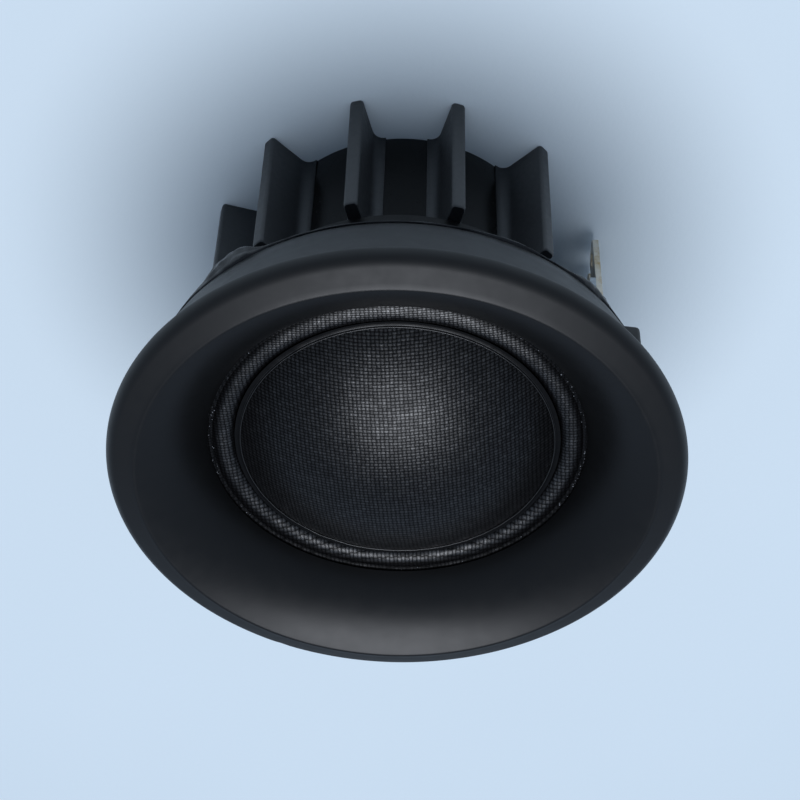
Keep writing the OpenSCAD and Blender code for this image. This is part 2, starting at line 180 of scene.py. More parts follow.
def spread(tree, value, low, high, from_low=0.3, from_high=0.7):
    """Stretches a 0 to 1 pattern to run from low to high."""
    links = {"Value": value, "From Min": from_low, "From Max": from_high, "To Min": low, "To Max": high}
    return add(tree, "ShaderNodeMapRange", links).outputs["Result"]


def mixed(tree, share, first, second, way="MIX"):
    """A Mix node between two colours; each is a hex code or another node's output."""
    ends = [linear(end) if isinstance(end, str) else end for end in (first, second)]
    links = {"Factor": share, mix_colour_in[0]: ends[0], mix_colour_in[1]: ends[1]}
    return add(tree, "ShaderNodeMix", links, data_type="RGBA", blend_type=way).outputs[mix_colour_out]


def relief(tree, shader, height, depth_mm, before=None):
    """Bump of a real depth in millimetres, on top of another bump if one is given."""
    node = add(tree, "ShaderNodeBump", {"Height": height, "Distance": depth_mm * MM, "Strength": 1})
    if before is not None:
        tree.links.new(before, node.inputs["Normal"])
    tree.links.new(node.outputs["Normal"], shader.inputs["Normal"])
    return node.outputs["Normal"]


def floor():
    """Matt coated paper: pale blue-grey, with a tooth too fine to see but for a slight unevenness."""
    material, tree, shader = start_material("matt_coated_paper")
    place = object_place(tree)
    colour = mixed(tree, grain(tree, place, 60, 2), "#dce8ee", "#e1edf3")
    tree.links.new(colour, shader.inputs["Base Color"])
    shader.inputs["Roughness"].default_value = 0.9
    relief(tree, shader, grain(tree, place, 0.5), 0.02)
    half = 0.9
    corners = [(-half, -half, 0), (half, -half, 0), (half, half, 0), (-half, half, 0)]
    mesh = bpy.data.meshes.new("floor")
    mesh.from_pydata(corners, [], [(0, 1, 2, 3)])
    mesh.materials.append(material)
    plane = bpy.data.objects.new("floor", mesh)
    bpy.context.collection.objects.link(plane)


floor()


def area_light(name, place, aim, size, power, colour):
    data = bpy.data.lights.new(name, "AREA")
    data.shape = "DISK"
    data.size = size
    data.energy = power
    data.color = linear(colour)[:3]
    lamp = bpy.data.objects.new(name, data)
    lamp.location = place
    lamp.rotation_mode = "QUATERNION"
    lamp.rotation_quaternion = (Vector(place) - Vector(aim)).to_track_quat("Z", "Y")
    bpy.context.collection.objects.link(lamp)


def lights():
    """One wide soft lamp overhead, and a bluish room."""
    area_light("overhead", place=(-0.008, -0.016, 0.5), aim=(0, 0, 0.02), size=0.40, power=1.98,
               colour="#f3f7ff")
    world = bpy.data.worlds.new("room")
    world.use_nodes = True
    world.node_tree.nodes["Background"].inputs["Color"].default_value = linear("#b9cde8")
    world.node_tree.nodes["Background"].inputs["Strength"].default_value = 0.44
    bpy.context.scene.world = world


lights()
bpy.context.scene.view_settings.view_transform = "Standard"


# ---------------------------------------------------------------- materials

def moulded_abs():
    """Black ABS, injection moulded in a fine-spark tool: a satin skin, uneven in gloss.

    From the crown outwards, where hands rub it, the lip is more matt.
    """
    material, tree, shader = start_material("moulded_black_abs")
    place = object_place(tree)
    colour = mixed(tree, grain(tree, place, 4, 3), "#040404", "#070707")
    tree.links.new(colour, shader.inputs["Base Color"])
    rough = spread(tree, grain(tree, place, 1.6, 5), 0.33, 0.39)
    rubbed = spread(tree, from_axis(tree, place), 0, 0.14, crown_r, crown_r + 0.5 * MM)
    tree.links.new(calc(tree, "ADD", rough, rubbed), shader.inputs["Roughness"])
    shader.inputs["IOR"].default_value = 1.44
    fine = relief(tree, shader, grain(tree, place, 0.09, 3), 0.0022)
    relief(tree, shader, grain(tree, place, 2.5, 2), 0.012, fine)
    return material


def cast_anodised(name, colours, roughness, ior, peel_mm):
    """Die-cast aluminium, black anodised: nearly colourless, with a pebbled skin or a smoother cut-back one.
    Darker colours given here hold painted shade.
    """
    material, tree, shader = start_material(name)
    place = object_place(tree)
    tree.links.new(mixed(tree, grain(tree, place, 1.2, 5), *colours), shader.inputs["Base Color"])
    tree.links.new(spread(tree, grain(tree, place, 0.5, 4), *roughness), shader.inputs["Roughness"])
    shader.inputs["IOR"].default_value = ior
    relief(tree, shader, grain(tree, place, 0.22, 4), peel_mm)
    return material


def weave(tree, place):
    """Plain weave: the yarn's height, and a random share for each crossing.

    The height is 0 in the holes and 1 on the crowns. The threads sway a little, as in any pressed cloth.
    """
    sway_length, sway_width = 2.5 * MM, 0.16 * MM
    dip = 0.45
    noisy = {"Vector": place, "Scale": 1 / sway_length, "Detail": 2}
    sway = add(tree, "ShaderNodeTexNoise", noisy).outputs["Color"]
    aside = {0: sway, 1: (sway_width,) * 3, 2: place}
    moved = add(tree, "ShaderNodeVectorMath", aside, operation="MULTIPLY_ADD").outputs[0]
    laid = {"Vector": moved, "Rotation": (0, 0, thread_turn), "Scale": (*thread_pitch, 1)}
    threads = add(tree, "ShaderNodeMapping", laid, vector_type="TEXTURE").outputs[0]
    across = add(tree, "ShaderNodeSeparateXYZ", {0: threads})
    closer = calc(tree, "MULTIPLY_ADD", across.outputs[1], -weft_drift, 1.0)
    lines = (across.outputs[0], calc(tree, "MULTIPLY", across.outputs[1], closer))
    warp_no, weft_no = (calc(tree, "FLOOR", line) for line in lines)
    half_turns = (calc(tree, "MULTIPLY", calc(tree, "FRACT", line), math.pi) for line in lines)
    warp, weft = (calc(tree, "SINE", angle) for angle in half_turns)
    odd = calc(tree, "MODULO", calc(tree, "ABSOLUTE", calc(tree, "ADD", warp_no, weft_no)), 2.0)
    warp_up = calc(tree, "MULTIPLY", warp, calc(tree, "MULTIPLY_ADD", weft, dip, 1 - dip))
    weft_up = calc(tree, "MULTIPLY", weft, calc(tree, "MULTIPLY_ADD", warp, dip, 1 - dip))
    top = add(tree, "ShaderNodeMix", {"Factor": odd, "A": warp_up, "B": weft_up}).outputs[0]
    cell = add(tree, "ShaderNodeCombineXYZ", {0: warp_no, 1: weft_no}).outputs[0]
    chance = add(tree, "ShaderNodeTexWhiteNoise", {"Vector": cell}).outputs["Value"]
    return top, chance


def unsoaked(tree, place):
    """How open the cloth is: 1 on the dome, more on the roll, and about 0.2 on either side of the roll.

    Glue soaked the cloth there, up to a ragged edge, and the soaked rings lie a little towards -Y.
    """
    dome_edge = roll_ri - 0.12 * MM
    foot_glue = (roll_ri + 0.30 * MM, roll_ri + 0.48 * MM)
    strip_glue = (roll_ri + 1.15 * MM, roll_ri + 1.55 * MM)
    r = from_axis(tree, place, 0.3)
    ragged = calc(tree, "MULTIPLY_ADD", grain(tree, place, 0.6, 4), 0.3 * MM, r)
    from_foot = spread(tree, ragged, 0.2, 1.45, *foot_glue)
    dome_side = calc(tree, "LESS_THAN", r, dome_edge)
    to_strip = spread(tree, ragged, 1, 0.14, *strip_glue)
    return calc(tree, "MULTIPLY", calc(tree, "MAXIMUM", from_foot, dome_side), to_strip)


def coated_cloth():
    """Woven black yarn with a thin damping coat: each crown glints by chance, and painted shade keeps the
    holes darker than the crowns.
    """
    material, tree, shader = start_material("coated_black_cloth")
    place = object_place(tree)
    crown_sharpness, least_glint, more_glint = 1.3, 0.78, 0.55
    least_shine, more_shine = 0.05, 0.66
    top, chance = weave(tree, place)
    crown = calc(tree, "POWER", top, crown_sharpness)
    # Painted shade: the yarn's colour is darker down in the holes of the weave and lighter on its crowns.
    tree.links.new(mixed(tree, crown, "#030303", "#0d0d0f"), shader.inputs["Base Color"])
    glint = calc(tree, "MULTIPLY_ADD", calc(tree, "POWER", chance, 2.0), more_glint, least_glint)
    fibres = spread(tree, grain(tree, place, 0.11, 3, 0.8), 0.35, 1.65)
    coat = spread(tree, grain(tree, place, 0.7, 6, 0.75), 0.6, 1.35)
    shine = calc(tree, "MULTIPLY", calc(tree, "MULTIPLY", crown, glint), calc(tree, "MULTIPLY", coat, fibres))
    open_cloth = calc(tree, "MULTIPLY", shine, unsoaked(tree, place))
    level = calc(tree, "MULTIPLY_ADD", open_cloth, more_shine, least_shine)
    tree.links.new(level, shader.inputs["Specular IOR Level"])
    tree.links.new(spread(tree, grain(tree, place, 2.2, 4), 0.33, 0.42), shader.inputs["Roughness"])
    shader.inputs["IOR"].default_value = 1.5
    relief(tree, shader, top, 0.014)
    return material


def cured_adhesive():
    """Black elastic adhesive, laid by hand and cured in air: glossy, lumpy and pulled into strings."""
    material, tree, shader = start_material("cured_black_adhesive")
    place = object_place(tree)
    colour = mixed(tree, grain(tree, place, 1.5, 3), "#08080a", "#101013")
    tree.links.new(colour, shader.inputs["Base Color"])
    tree.links.new(spread(tree, grain(tree, place, 0.9, 4), 0.20, 0.42), shader.inputs["Roughness"])
    shader.inputs["IOR"].default_value = 1.45
    relief(tree, shader, grain(tree, place, 0.8, 3), 0.06)
    return material


def brushed_glue():
    """Contact cement, brushed on and dried: its raised line is glossy, and the cloth beside it is dull."""
    material, tree, shader = start_material("brushed_black_cement")
    place = object_place(tree)
    tree.links.new(mixed(tree, grain(tree, place, 0.8, 4), "#050506", "#09090a"), shader.inputs["Base Color"])
    tree.links.new(spread(tree, grain(tree, place, 0.6, 4), 0.3, 0.4), shader.inputs["Roughness"])
    line_end = (dome_r - 0.16 * MM, dome_r - 0.10 * MM)
    level = spread(tree, from_axis(tree, place), 1.15, 0.13, *line_end)
    tree.links.new(level, shader.inputs["Specular IOR Level"])
    relief(tree, shader, grain(tree, place, 0.3, 3), 0.01)
    return material


def dipped_steel():
    """Pressed steel with a thin black dip coat: smooth, half gloss, a little orange peel."""
    material, tree, shader = start_material("black_dipped_steel")
    place = object_place(tree)
    colour = mixed(tree, grain(tree, place, 3, 3), "#060607", "#09090a")
    tree.links.new(colour, shader.inputs["Base Color"])
    tree.links.new(spread(tree, grain(tree, place, 1, 3), 0.30, 0.40), shader.inputs["Roughness"])
    shader.inputs["IOR"].default_value = 1.25
    relief(tree, shader, grain(tree, place, 0.6, 2), 0.006)
    return material


def filled_nylon():
    """Black glass-filled nylon, moulded: matt, with pale fibre streaks along the flow.

    Real fibres are about 0.01 mm thick; they are drawn coarser so that they show.
    """
    material, tree, shader = start_material("glass_filled_nylon")
    place = object_place(tree)
    stretched = add(tree, "ShaderNodeMapping", {"Vector": place, "Scale": (1, 1, 0.25)}).outputs["Vector"]
    fibres = spread(tree, grain(tree, stretched, 0.25, 5), 0, 1, 0.45, 0.75)
    tree.links.new(mixed(tree, fibres, "#111214", "#1d1e20"), shader.inputs["Base Color"])
    shader.inputs["Roughness"].default_value = 0.55
    relief(tree, shader, grain(tree, place, 0.18, 3), 0.006)
    return material


def glass_board():
    """Epoxy glass board, punched and bare: pale grey with the weave of the glass just showing, its blue-grey
    lightened further as painted glare.
    """
    material, tree, shader = start_material("bare_epoxy_glass_painted_glare")
    place = object_place(tree)
    wave_repeat, strand_pitch = 0.31, 0.5 * MM
    strands = {"Vector": place, "Scale": wave_repeat / strand_pitch}
    along = add(tree, "ShaderNodeTexWave", strands, bands_direction="Y").outputs["Fac"]
    across = add(tree, "ShaderNodeTexWave", strands, bands_direction="Z").outputs["Fac"]
    crossings = calc(tree, "MULTIPLY", along, across)
    stained = spread(tree, grain(tree, place, 1.5, 4), 0, 1)
    # Painted glare: the board's pale blue-grey is lighter than bare board, standing in for light on its
    # faces.
    glare_pale_base = mixed(tree, stained, "#d3dbe2", "#c3cacd")
    weave_on_glare_base = mixed(tree, spread(tree, crossings, 0.05, 0.2, 0, 1), glare_pale_base, "#8d9388", "MULTIPLY")
    tree.links.new(weave_on_glare_base, shader.inputs["Base Color"])
    shader.inputs["Roughness"].default_value = 0.4
    relief(tree, shader, crossings, 0.01)
    return material


def tinned_brass():
    """Stamped brass with a thin tin coat: soft silver, the yellow brass showing along worn places."""
    material, tree, shader = start_material("tinned_stamped_brass")
    place = object_place(tree)
    worn = spread(tree, grain(tree, place, 0.9, 5), 0, 1, 0.4, 0.65)
    tree.links.new(mixed(tree, worn, "#e9e0d0", "#cdb488"), shader.inputs["Base Color"])
    shader.inputs["Metallic"].default_value = 1
    tree.links.new(spread(tree, worn, 0.28, 0.42, 0, 1), shader.inputs["Roughness"])
    drawn = add(tree, "ShaderNodeMapping", {"Vector": place, "Scale": (1, 1, 0.08)}).outputs["Vector"]
    relief(tree, shader, grain(tree, drawn, 0.12, 3), 0.002)
    return material


def burnt_solder():
    """Hand-made solder joint with burnt flux left on it: dull grey metal under brown-black film."""
    material, tree, shader = start_material("solder_with_burnt_flux")
    place = object_place(tree)
    flux = spread(tree, grain(tree, place, 0.7, 4), 0, 1, 0.35, 0.6)
    tree.links.new(mixed(tree, flux, "#7d7e7d", "#1c1612"), shader.inputs["Base Color"])
    tree.links.new(spread(tree, flux, 0.9, 0.1, 0, 1), shader.inputs["Metallic"])
    shader.inputs["Roughness"].default_value = 0.32
    relief(tree, shader, grain(tree, place, 0.4, 4), 0.03)
    return material


def bare_metal(name, first, second, low, high, stroke_mm):
    """Plated or turned metal: fine tool strokes and a slightly clouded colour."""
    material, tree, shader = start_material(name)
    place = object_place(tree)
    tree.links.new(mixed(tree, grain(tree, place, 2, 4), first, second), shader.inputs["Base Color"])
    shader.inputs["Metallic"].default_value = 1
    strokes = add(tree, "ShaderNodeMapping", {"Vector": place, "Scale": (1, 1, 8)}).outputs["Vector"]
    tree.links.new(spread(tree, grain(tree, strokes, stroke_mm, 3), low, high), shader.inputs["Roughness"])
    relief(tree, shader, grain(tree, strokes, stroke_mm, 3), 0.002)
    return material


def soft_solid(name, first, second, rough, cell_mm, depth_mm):
    """Foam, felt, film or rubber: a mottled colour and a relief of cells or fibres of a real size."""
    material, tree, shader = start_material(name)
    place = object_place(tree)
    cells = grain(tree, place, cell_mm, 5)
    tree.links.new(mixed(tree, spread(tree, cells, 0, 1), first, second), shader.inputs["Base Color"])
    shader.inputs["Roughness"].default_value = rough
    relief(tree, shader, cells, depth_mm)
    return material


abs_skin = moulded_abs()
anodised = cast_anodised("black_anodised_casting", ("#181a1c", "#1e2023"), (0.44, 0.55), 1.6, 0.008)
# The core's copy is far darker than the fins': painted shade, for the core lies deep under the skirt and
# between the fins.
core_painted_shade = cast_anodised("black_anodised_core_painted_shade", ("#050505", "#070707"), (0.2, 0.28), 1.22, 0.002)
cloth = coated_cloth()
adhesive = cured_adhesive()
satin_glue = brushed_glue()
dipped = dipped_steel()
nylon = filled_nylon()
board_painted_glare = glass_board()
brass = tinned_brass()
solder = burnt_solder()
zinc = bare_metal("zinc_plated_turned_steel", "#8f9296", "#a3a5a6", 0.28, 0.42, 0.1)
nickel = bare_metal("nickel_plated_magnet", "#c6c3bb", "#d3d0c9", 0.16, 0.26, 0.3)
copper = bare_metal("enamelled_drawn_copper", "#a8592f", "#c0703f", 0.22, 0.34, 0.15)
black_steel = bare_metal("blackened_rolled_steel", "#2c2d30", "#3a3b3f", 0.34, 0.48, 0.12)
foam = soft_solid("closed_cell_foam", "#2c2c2b", "#393938", 0.85, 0.2, 0.03)
grey_moulding = soft_solid("moulded_grey_abs", "#3f3f3d", "#454543", 0.5, 0.15, 0.004)
amber_film = soft_solid("wound_polyimide_film", "#a0671c", "#b97c2a", 0.28, 0.6, 0.004)
wool_felt = soft_solid("pressed_wool_felt", "#75726b", "#9a968d", 0.95, 0.12, 0.06)
pale_crumb = soft_solid("dried_glue_crumbs", "#6d7076", "#94979c", 0.35, 0.1, 0.005)
oil = soft_solid("magnetic_oil_film", "#2a170b", "#361f10", 0.08, 1, 0.01)
silicone = soft_solid("calendered_silicone_pad", "#8594a6", "#97a5b5", 0.6, 0.4, 0.01)


def dress(node, material):
    """Gives a CAD node's own object a material in each of its slots."""
    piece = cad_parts[node]
    for slot in piece.material_slots:
        slot.material = material
    if not piece.material_slots:
        piece.data.materials.append(material)


# ---------------------------------------------------------------- making shapes

def arc(cx, cz, rx, rz, start, end, steps):
    """Points along part of an ellipse, angles in degrees from the outward direction."""
    points = []
    for i in range(steps + 1):
        a = math.radians(start + (end - start) * i / steps)
        points.append((cx + rx * math.cos(a), cz + rz * math.sin(a)))
    return points


def compass(phi):
    """The outward direction at an angle from -Y towards -X."""
    t = math.radians(phi)
    return Vector((-math.sin(t), -math.cos(t), 0))


def finish_mesh(name, mesh, material, sharp=35):
    mesh.materials.clear()
    mesh.materials.append(material)
    for face in mesh.polygons:
        face.use_smooth = True
    mesh.set_sharp_from_angle(angle=math.radians(sharp))
    piece = bpy.data.objects.new(name, mesh)
    bpy.context.collection.objects.link(piece)
    return piece


def mesh_from(work, name):
    bmesh.ops.recalc_face_normals(work, faces=work.faces)
    mesh = bpy.data.meshes.new(name)
    work.to_mesh(mesh)
    work.free()
    return mesh


def close_round(work, rings):
    """Faces between closed rings of points, each to the next and the last to the first."""
    for i, here in enumerate(rings):
        there = rings[(i + 1) % len(rings)]
        for k in range(len(here)):
            n = (k + 1) % len(here)
            work.faces.new((here[k], there[k], there[n], here[n]))


def turned(name, outline, steps, shift=None):
    """A closed outline of (radius, height) turned about the axis; shift moves a point at (r, z, phi)."""
    work = bmesh.new()
    rings = []
    for i in range(steps):
        phi = 360 * i / steps
        out = compass(phi)
        ring = []
        for r, z in outline:
            if shift:
                r, z = shift(r, z, phi)
            ring.append(work.verts.new(out * r + Vector((0, 0, z))))
        rings.append(ring)
    close_round(work, rings)
    return mesh_from(work, name)


def turned_sheet(name, outline, steps, shift):
    """An open sheet turned about the axis, from an outline that starts on it; shift as for turned."""
    work = bmesh.new()
    pole = work.verts.new((0, 0, outline[0][1]))
    rings = []
    for i in range(steps):
        phi = 360 * i / steps
        ring = []
        for r, z in outline[1:]:
            r, z = shift(r, z, phi)
            ring.append(work.verts.new(compass(phi) * r + Vector((0, 0, z))))
        rings.append(ring)
    for i in range(steps):
        here, there = rings[i], rings[(i + 1) % steps]
        work.faces.new((pole, there[0], here[0]))
        for k in range(len(here) - 1):
            work.faces.new((here[k], there[k], there[k + 1], here[k + 1]))
    mesh = mesh_from(work, name)
    if mesh.polygons[0].normal.z < 0:
        mesh.flip_normals()
    return mesh


# ---------------------------------------------------------------- waveguide

def bowed(p, q, bow, steps):
    """Arc from p to q that bows to the left of the straight way, by bow degrees at each end."""
    way = math.degrees(math.atan2(q[1] - p[1], q[0] - p[0]))
    r = math.dist(p, q) / (2 * math.sin(math.radians(bow)))
    turn = math.radians(way + 90 - bow)
    centre = (q[0] - r * math.cos(turn), q[1] - r * math.sin(turn))
    return arc(*centre, r, r, way + 90 + bow, way + 90 - bow, steps)


def lip_rim_z():
    """Height of the widest place of the rim: below the crown by the ridge, the sloping lip and its turn."""
    slope = math.radians(lip_slope)
    run = rim_r - lip_r * (1 - math.sin(slope)) - crown_r - ridge_r * math.sin(slope)
    return crown_z - ridge_r * (1 - math.cos(slope)) - run * math.tan(slope) - lip_r * math.cos(slope)


rim_z = lip_rim_z()


def waveguide():
    """One moulding: the flare, the ridge of the crown, the sloping lip, the skirt and the seats inside."""
    flare_h = crown_z - throat_z
    crown_slope = math.degrees(math.atan2(flare_h, crown_r - throat_r)) - flare_bow
    ridge = arc(crown_r, crown_z - ridge_r, ridge_r, ridge_r, 90 + crown_slope, 90 - lip_slope, 10)
    outline = bowed((throat_r, throat_z), ridge[0], flare_bow, 44) + ridge[1:]
    outline += arc(rim_r - lip_r, rim_z, lip_r, lip_r, 90 - lip_slope, 0, 14)
    outline += arc(rim_r - edge_r, rim_z, edge_r, edge_r, -12, -75, 6)
    bevel, waviness = 0.15 * MM, 0.02 * MM
    nick_place, nick_spread = 205, 1.1
    nick_depth, nick_reach = 0.12 * MM, 0.5 * MM
    outline += [(skirt_r, skirt_z + bevel), (skirt_r - bevel, skirt_z), (seat_r, skirt_z), (seat_r, motor_z)]
    outline += [(pocket_r, motor_z), (pocket_r, pocket_z), (gasket_ri, pocket_z), (gasket_ri, throat_z)]

    def shift(r, z, phi):
        """Moulded parts are never quite true: a slight waviness, and one nick on the rim."""
        out = compass(phi)
        wave = noise.noise(out * 3 + Vector((0, 0, z * 90))) * waviness
        round_it = math.exp(-((phi - nick_place) / nick_spread) ** 2)
        nick = round_it * math.exp(-((r - rim_r) / nick_reach) ** 2)
        return r + wave - nick_depth * nick, z

    shell = finish_mesh("waveguide_shell", turned("waveguide_shell", outline, 300, shift), abs_skin, 40)
    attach(shell, "housing")
    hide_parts("waveguide")


waveguide()


def key_lug():
    """The lug that stops the tweeter turning in its cup: a rounded block under the rim, set askew."""
    width, depth, edge = 2.2 * MM, 2.85 * MM, 0.35 * MM
    inner, reach, top = skirt_r - 0.1 * MM, skirt_r + 1.8 * MM, rim_z - edge_r + 0.15 * MM
    askew, moved = math.radians(48), (0.25 * MM, 0, -0.2 * MM)
    work = bmesh.new()
    bmesh.ops.create_cube(work, size=1)
    for v in work.verts:
        out = inner + (0.5 - v.co.y) * (reach - inner)
        v.co = Vector((v.co.x * width, -out, top - (0.5 - v.co.z) * depth))
    bmesh.ops.bevel(work, geom=work.edges[:], offset=edge, segments=5, profile=0.5, affect="EDGES")
    middle = Vector((0, -(inner + reach) / 2, 0))
    bmesh.ops.rotate(work, verts=work.verts, cent=middle, matrix=Matrix.Rotation(askew, 3, "Z"))
    place = Matrix.Rotation(math.radians(-lug_angle), 3, "Z")
    bmesh.ops.rotate(work, verts=work.verts, matrix=place)
    bmesh.ops.translate(work, verts=work.verts, vec=moved)
    lug = finish_mesh("key_lug", mesh_from(work, "key_lug"), abs_skin)
    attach(lug, "housing")


key_lug()


# ---------------------------------------------------------------- dome and surround

def dome():
    """Plain-woven cloth pressed to a cap, a little uneven from its coat."""
    ball_r = (dome_r ** 2 + dome_h ** 2) / (2 * dome_h)
    centre_z = fabric_z + dome_h - ball_r
    edge = math.asin((dome_r - 0.02 * MM) / ball_r)
    rows = 60
    dent, ripple = 0.035 * MM, 0.008 * MM
    angles = [edge * k / rows for k in range(rows + 1)]
    outline = [(ball_r * math.sin(a), centre_z + ball_r * math.cos(a)) for a in angles]

    def shift(r, z, phi):
        at = compass(phi) * r / (4 * MM)
        low = dent * (noise.noise(at) - 0.5) + ripple * (noise.noise(at * 3.5) - 0.5)
        return r * (1 + low / ball_r), z + low * (z - centre_z) / ball_r

    piece = finish_mesh("dome_cloth", turned_sheet("dome_cloth", outline, 360, shift), cloth, 180)
    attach(piece, "diaphragm")
    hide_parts("dome")


dome()


def surround():
    """The roll between the dome and the ring, of the same cloth, with its flat edge clamped."""
    centre_z = fabric_z + roll_h - roll_r
    half = math.degrees(math.asin(roll_w / 2 / roll_r))
    under_r = roll_r - cloth_t
    half_under = math.degrees(math.acos((roll_r - roll_h) / under_r))
    open_end = 8
    pull_both, pull_near = 0.24, 0.10
    strip_mm = (0.0, 0.07, 0.14, 0.21, 0.28, 0.36, 0.45, 0.6)
    outline = arc(roll_mid, centre_z, roll_r, roll_r, 90 + half, 90 - half + open_end, 26)
    outline += [(roll_ri + roll_w + t * MM, fabric_z + cloth_t) for t in strip_mm]
    outline += [(ring_ro, fabric_z + cloth_t), (ring_ro, fabric_z)]
    outline += arc(roll_mid, centre_z, under_r, under_r, 90 - half_under, 90 + half_under, 12)

    def shift(r, z, phi):
        """The roll is pulled in on the near and far sides, and the flat strip outside it is puckered."""
        at = compass(phi) * r / (2.2 * MM)
        facing = math.cos(math.radians(phi))
        pulled = facing ** 2 * (pull_both + pull_near * facing) * MM
        r -= pulled * max(0, 1 - ((r - roll_mid) / (roll_w / 2)) ** 2)
        return r, z + 0.03 * MM * noise.noise(at) + 0.012 * MM * noise.noise(at * 4)

    piece = finish_mesh("surround_cloth", turned("surround_cloth", outline, 540, shift), cloth, 180)
    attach(piece, "housing")
    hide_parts("surround")


surround()


# ---------------------------------------------------------------- glue

def specks():
    """Crumbs of dried glue on the flat strip of cloth, thicker in places, each a squashed pebble."""
    chance = random.Random(7)
    crumb_count, patch_spread = 70, 24
    patches = (95, 100, 85, -95, -100, 40, -40, 150)
    work = bmesh.new()
    for _ in range(crumb_count):
        phi = chance.choice(patches) + chance.gauss(0, patch_spread)
        r = throat_r - abs(chance.gauss(0.12, 0.12)) * MM
        size = min(0.07, max(0.02, chance.gauss(0.038, 0.014))) * MM
        made = bmesh.ops.create_icosphere(work, subdivisions=1, radius=size)
        squash = Matrix.Diagonal((1, chance.uniform(0.6, 1.4), 0.6, 1))
        turn = Matrix.Rotation(chance.uniform(0, math.pi), 4, "Z")
        place = Matrix.Translation(compass(phi) * r + Vector((0, 0, fabric_z + cloth_t + 0.25 * size)))
        bmesh.ops.transform(work, matrix=place @ turn @ squash, verts=made["verts"])
    crumbs = finish_mesh("glue_crumbs", mesh_from(work, "glue_crumbs"), pale_crumb, 180)
    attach(crumbs, "housing")


specks()


def joint_glue():
    """Thin line of glue at the foot of the dome, which reaches down so that no gap opens when it moves."""
    def at(r_mm, z_mm):
        return dome_r + r_mm * MM, fabric_z + z_mm * MM

    outline = [at(-0.29, 0.20), at(-0.26, 0.34)]
    outline += arc(*at(-0.22, 0.34), 0.035 * MM, 0.04 * MM, 160, 20, 5)
    outline += [at(-0.165, 0.25), at(-0.13, 0.21), at(0.10, 0.20), at(0.24, 0.20)]
    outline += [at(0.24, -0.40), at(0.02, -0.40), at(0.01, 0.02)]

    def shift(r, z, phi):
        """The line is uneven above the cloth, and true below it."""
        out = compass(phi)
        uneven = noise.noise(out * 9) * 0.03 * MM + noise.noise(out * 40) * 0.008 * MM
        return r + (0.5 * uneven if z > fabric_z else 0), z + (uneven if z > fabric_z else 0)

    line = finish_mesh("joint_glue", turned("joint_glue", outline, 480, shift), satin_glue, 60)
    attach(line, "diaphragm")
    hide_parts("joint_bead")


joint_glue()


def sealant():
    """Hand-laid bead in the corner behind the skirt: thick and folded in some places, thin in others.

    Each swell has its place, how far it reaches after and before that, and its height in millimetres.
    """
    swells = ((-38, 5, 11, 1.9), (24, 7, 7, 0.3), (47, 4, 7, 1.0), (-88, 9, 9, 0.4), (118, 10, 10, 0.5),
              (176, 16, 16, 0.6), (238, 12, 12, 0.5))
    inner_r, outer_r = chassis_r - 0.5 * MM, skirt_r + 0.05 * MM
    steps, around = 1080, 28
    plain, lumps, fold_push = 0.22, 0.06, 0.17 * MM
    rear_gap, lap, corner = 0.02 * MM, 0.25 * MM, 0.6 * MM
    skirt_slope = 0.43

    def thickness(phi):
        """How thick the bead is, in millimetres."""
        total = plain
        for place, reach_after, reach_before, height in swells:
            away = (phi - place + 180) % 360 - 180
            total += height * math.exp(-(away / (reach_after if away > 0 else reach_before)) ** 2)
        return total + lumps * noise.noise(compass(phi) * 6)

    work = bmesh.new()
    rings = []
    for i in range(steps):
        phi = 360 * i / steps
        out = compass(phi)
        t = thickness(phi)
        ring = []
        for k in range(around):
            a = 2 * math.pi * k / around
            width = 0.52 * (outer_r - inner_r) * (0.85 + 0.25 * t)
            r = (inner_r + outer_r) / 2 + width * math.cos(a)
            z = skirt_z - (0.12 + 0.3 * max(0, t - 0.3)) * MM + 0.62 * t * math.sin(a) * MM
            along = Vector((0, 0, 2.2 * math.sin(a)))
            fold = noise.noise(out * 7 + along) + 0.5 * noise.noise(out * 22 + along * 3.5)
            push = fold * fold_push * min(t, 1.2)
            r += push * math.cos(a)
            z += push * math.sin(a)
            if r < inner_r + corner:
                z = max(z, chassis_z + rear_gap)
            if z > skirt_z and r < seat_r + corner:
                z = min(z, skirt_z + lap)
            skirt_here = skirt_r + max(0, z - skirt_z) * skirt_slope + (0.16 + 0.2 * t) * MM
            ring.append(work.verts.new(out * min(r, skirt_here) + Vector((0, 0, z))))
        rings.append(ring)
    close_round(work, rings)
    bead = finish_mesh("sealant_laid", mesh_from(work, "sealant_laid"), adhesive, 180)
    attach(bead, "housing")
    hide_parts("sealant_bead")


sealant()


def damping_felt():
    """Disc of pressed felt glued on the pole under the dome: a soft edge, and a face that isn't flat."""
    (_, _, low_z), (felt_r, _, high_z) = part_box("damping_pad")
    thick, soft, hollow = high_z - low_z, 0.35 * MM, 0.06 * MM
    middle_z = low_z + thick / 2
    outline = [(0, high_z)] + [(felt_r * k / 14, high_z) for k in range(1, 14)]
    outline = [(r, z) for r, z in outline if r < felt_r - soft]
    outline += arc(felt_r - soft, high_z - soft, soft, soft, 90, 0, 6)
    outline += arc(felt_r - soft, low_z + soft, soft, soft, 0, -90, 6)
    outline += [(felt_r * k / 5, low_z) for k in (4, 3, 2, 1)]

    def shift(r, z, phi):
        at = compass(phi) * r / (1.5 * MM)
        return r, z - (hollow * (0.5 + noise.noise(at)) if z > middle_z else 0)

    mesh = turned_sheet("damping_felt", outline, 120, shift)
    work = bmesh.new()
    work.from_mesh(mesh)
    bmesh.ops.holes_fill(work, edges=work.edges, sides=0)
    felt = finish_mesh("damping_felt", mesh_from(work, "damping_felt"), wool_felt, 60)
    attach(felt, "housing")
    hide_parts("damping_pad")


damping_felt()


# ---------------------------------------------------------------- heat sink

# The whole-number inputs of a Compare node, and the value input of a Store Named Attribute node.
whole_pair = (2, 3)
stored_whole = 3


